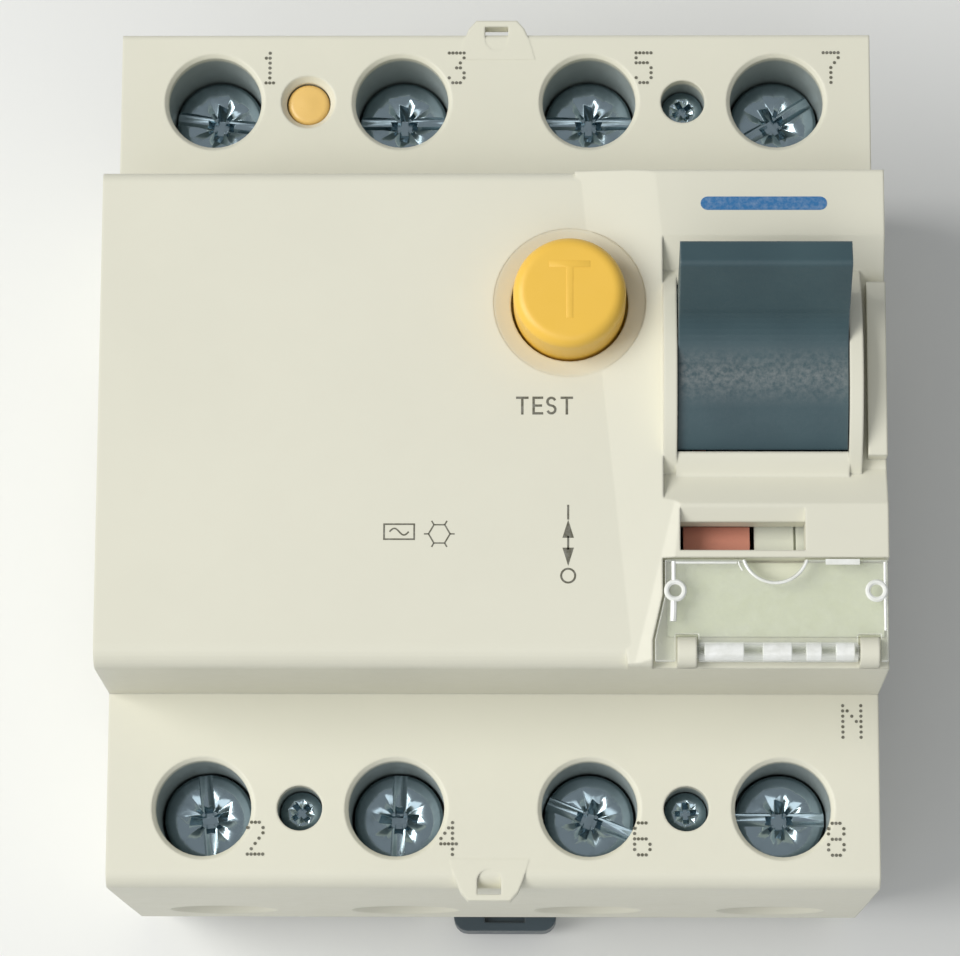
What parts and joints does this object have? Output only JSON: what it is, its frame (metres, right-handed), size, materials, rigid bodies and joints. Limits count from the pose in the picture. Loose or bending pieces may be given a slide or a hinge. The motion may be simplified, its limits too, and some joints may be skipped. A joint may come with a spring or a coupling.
{
  "type": "residual current device",
  "caption": "Four-pole residual current device for a rail, with toggle, test button, status window, clear label flap and screw terminals.",
  "frame": {"origin": "middle of the width, on the centre line of the 35 mm rail, in the plane where the rail's flanges meet the device", "axes": "+Z out of the front face, +Y towards the line terminals, +X to the right seen from the front"},
  "size_m": [0.07, 0.0828, 0.0756],
  "materials": {
    "housing": "fine moulded texture",
    "toggle_plastic": "satin",
    "button_plastic": "satin gloss",
    "plug_plastic": "satin gloss",
    "clear_plastic": "clear polycarbonate",
    "card": "matt printed card",
    "screw_zinc": "bright zinc plated",
    "cage_steel": "zinc plated, dull",
    "plate_steel": "stamped sheet",
    "spring_steel": "drawn wire",
    "copper": "bare copper",
    "contact_silver": "silver alloy",
    "chassis_plastic": "moulded",
    "carrier_plastic": "moulded thermoset",
    "relay_plastic": "moulded",
    "sensor_plastic": "moulded",
    "core_metal": "tape-wound core",
    "flag_red": "moulded",
    "flag_green": "moulded",
    "flag_white": "moulded",
    "clip_plastic": "moulded, slightly glossy",
    "resistor_body": "lacquered"
  },
  "bodies": {
    "base": {"base_housing": "housing", "front_cover": "housing", "housing_screws": "screw_zinc", "seal_plug": "plug_plastic", "label_card": "card", "toggle_pin": "plate_steel", "toggle_spring": "spring_steel", "mechanism_plate_left": "plate_steel", "mechanism_plate_right": "plate_steel", "mechanism_spacers": "plate_steel", "flexible_braids": "copper", "line_bars": "copper", "fixed_contacts": "contact_silver", "load_bars": "copper", "primary_conductors": "copper", "sensor_case": "sensor_plastic", "sensor_winding": "copper", "sensor_core": "core_metal", "inner_chassis": "chassis_plastic", "relay_case": "relay_plastic", "relay_coil": "copper", "test_button_spring": "spring_steel", "test_contact": "copper", "test_resistor": "resistor_body", "rail_clip_spring": "spring_steel"},
    "toggle": {"toggle": "toggle_plastic"},
    "link": {"link_plate": "plate_steel"},
    "contact_carrier": {"contact_carrier": "carrier_plastic", "moving_contacts": "copper", "contact_springs": "spring_steel"},
    "relay_plunger": {"relay_plunger": "plate_steel"},
    "trip_bar": {"trip_bar": "flag_white"},
    "position_flag": {"position_flag": "flag_red", "position_flag_off_cap": "flag_green"},
    "test_button": {"test_button": "button_plastic"},
    "label_flap": {"label_flap": "clear_plastic"},
    "rail_clip": {"rail_clip": "clip_plastic"},
    "terminal_screw_1": {"terminal_screw_1": "screw_zinc"},
    "terminal_cage_1": {"terminal_cage_1": "cage_steel"},
    "terminal_screw_2": {"terminal_screw_2": "screw_zinc"},
    "terminal_cage_2": {"terminal_cage_2": "cage_steel"},
    "terminal_screw_3": {"terminal_screw_3": "screw_zinc"},
    "terminal_cage_3": {"terminal_cage_3": "cage_steel"},
    "terminal_screw_4": {"terminal_screw_4": "screw_zinc"},
    "terminal_cage_4": {"terminal_cage_4": "cage_steel"},
    "terminal_screw_5": {"terminal_screw_5": "screw_zinc"},
    "terminal_cage_5": {"terminal_cage_5": "cage_steel"},
    "terminal_screw_6": {"terminal_screw_6": "screw_zinc"},
    "terminal_cage_6": {"terminal_cage_6": "cage_steel"},
    "terminal_screw_7": {"terminal_screw_7": "screw_zinc"},
    "terminal_cage_7": {"terminal_cage_7": "cage_steel"},
    "terminal_screw_8": {"terminal_screw_8": "screw_zinc"},
    "terminal_cage_8": {"terminal_cage_8": "cage_steel"}
  },
  "joints": [
    {"name": "toggle_turn", "type": "hinge", "parent": "base", "child": "toggle", "pos_m": [0.024, 0.00425, 0.05], "axis": [1, 0, 0], "range_deg": [0, 42.5]},
    {"name": "link_turn", "type": "hinge", "parent": "toggle", "child": "link", "pos_m": [0.0216, 0.00009, 0.05171], "axis": [1, 0, 0], "range_deg": [-42.5, 0]},
    {"name": "carrier_turn", "type": "hinge", "parent": "base", "child": "contact_carrier", "pos_m": [0, 0.004, 0.0246], "axis": [1, 0, 0], "range_deg": [0, 19.06], "deforming": ["flexible_braids"]},
    {"name": "position_flag_turn", "type": "hinge", "parent": "base", "child": "position_flag", "pos_m": [0.01865, -0.0125, 0.046], "axis": [1, 0, 0], "range_deg": [-13.5, 0]},
    {"name": "trip_turn", "type": "hinge", "parent": "base", "child": "trip_bar", "pos_m": [0.02, -0.0125, 0.046], "axis": [1, 0, 0], "range_deg": [0, 15.5]},
    {"name": "plunger_push", "type": "slide", "parent": "base", "child": "relay_plunger", "axis": [0, -1, 0], "range_m": [0, 0.0007]},
    {"name": "test_press", "type": "slide", "parent": "base", "child": "test_button", "axis": [0, 0, -1], "range_m": [0, 0.0018], "stiffness_N_per_m": 500, "springref_m": -0.001, "deforming": ["test_button_spring"]},
    {"name": "flap_turn", "type": "hinge", "parent": "base", "child": "label_flap", "pos_m": [0.025, -0.0212, 0.0592], "axis": [1, 0, 0], "range_deg": [0, 110]},
    {"name": "clip_pull", "type": "slide", "parent": "base", "child": "rail_clip", "axis": [0, -1, 0], "range_m": [0, 0.0042], "stiffness_N_per_m": 600, "springref_m": -0.003, "deforming": ["rail_clip_spring"]},
    {"name": "terminal_screw_1_turn", "type": "hinge", "parent": "base", "child": "terminal_screw_1", "pos_m": [-0.02625, 0.0335, 0.034], "axis": [0, 0, -1], "range_deg": [0, 3150]},
    {"name": "terminal_cage_1_lift", "type": "slide", "parent": "base", "child": "terminal_cage_1", "axis": [0, 0, 1], "range_m": [0, 0.007]},
    {"name": "terminal_screw_2_turn", "type": "hinge", "parent": "base", "child": "terminal_screw_2", "pos_m": [-0.02625, -0.033, 0.034], "axis": [0, 0, -1], "range_deg": [0, 3150]},
    {"name": "terminal_cage_2_lift", "type": "slide", "parent": "base", "child": "terminal_cage_2", "axis": [0, 0, 1], "range_m": [0, 0.007]},
    {"name": "terminal_screw_3_turn", "type": "hinge", "parent": "base", "child": "terminal_screw_3", "pos_m": [-0.00875, 0.0335, 0.034], "axis": [0, 0, -1], "range_deg": [0, 3150]},
    {"name": "terminal_cage_3_lift", "type": "slide", "parent": "base", "child": "terminal_cage_3", "axis": [0, 0, 1], "range_m": [0, 0.007]},
    {"name": "terminal_screw_4_turn", "type": "hinge", "parent": "base", "child": "terminal_screw_4", "pos_m": [-0.00875, -0.033, 0.034], "axis": [0, 0, -1], "range_deg": [0, 3150]},
    {"name": "terminal_cage_4_lift", "type": "slide", "parent": "base", "child": "terminal_cage_4", "axis": [0, 0, 1], "range_m": [0, 0.007]},
    {"name": "terminal_screw_5_turn", "type": "hinge", "parent": "base", "child": "terminal_screw_5", "pos_m": [0.00875, 0.0335, 0.034], "axis": [0, 0, -1], "range_deg": [0, 3150]},
    {"name": "terminal_cage_5_lift", "type": "slide", "parent": "base", "child": "terminal_cage_5", "axis": [0, 0, 1], "range_m": [0, 0.007]},
    {"name": "terminal_screw_6_turn", "type": "hinge", "parent": "base", "child": "terminal_screw_6", "pos_m": [0.00875, -0.033, 0.034], "axis": [0, 0, -1], "range_deg": [0, 3150]},
    {"name": "terminal_cage_6_lift", "type": "slide", "parent": "base", "child": "terminal_cage_6", "axis": [0, 0, 1], "range_m": [0, 0.007]},
    {"name": "terminal_screw_7_turn", "type": "hinge", "parent": "base", "child": "terminal_screw_7", "pos_m": [0.02625, 0.0335, 0.034], "axis": [0, 0, -1], "range_deg": [0, 3150]},
    {"name": "terminal_cage_7_lift", "type": "slide", "parent": "base", "child": "terminal_cage_7", "axis": [0, 0, 1], "range_m": [0, 0.007]},
    {"name": "terminal_screw_8_turn", "type": "hinge", "parent": "base", "child": "terminal_screw_8", "pos_m": [0.02625, -0.033, 0.034], "axis": [0, 0, -1], "range_deg": [0, 3150]},
    {"name": "terminal_cage_8_lift", "type": "slide", "parent": "base", "child": "terminal_cage_8", "axis": [0, 0, 1], "range_m": [0, 0.007]}
  ],
  "couplings": [
    {"joint": "link_turn", "follows": "toggle_turn", "ratio": -1},
    {"joint": "carrier_turn", "follows": "toggle_turn", "ratio": 0.44846},
    {"joint": "position_flag_turn", "follows": "toggle_turn", "ratio": -0.31396},
    {"joint": "trip_turn", "follows": "plunger_push", "rad_per_m": 384.6},
    {"joint": "terminal_screw_1_turn", "follows": "terminal_cage_1_lift", "rad_per_m": 7853.9},
    {"joint": "terminal_screw_2_turn", "follows": "terminal_cage_2_lift", "rad_per_m": 7853.9},
    {"joint": "terminal_screw_3_turn", "follows": "terminal_cage_3_lift", "rad_per_m": 7853.9},
    {"joint": "terminal_screw_4_turn", "follows": "terminal_cage_4_lift", "rad_per_m": 7853.9},
    {"joint": "terminal_screw_5_turn", "follows": "terminal_cage_5_lift", "rad_per_m": 7853.9},
    {"joint": "terminal_screw_6_turn", "follows": "terminal_cage_6_lift", "rad_per_m": 7853.9},
    {"joint": "terminal_screw_7_turn", "follows": "terminal_cage_7_lift", "rad_per_m": 7853.9},
    {"joint": "terminal_screw_8_turn", "follows": "terminal_cage_8_lift", "rad_per_m": 7853.9}
  ]
}
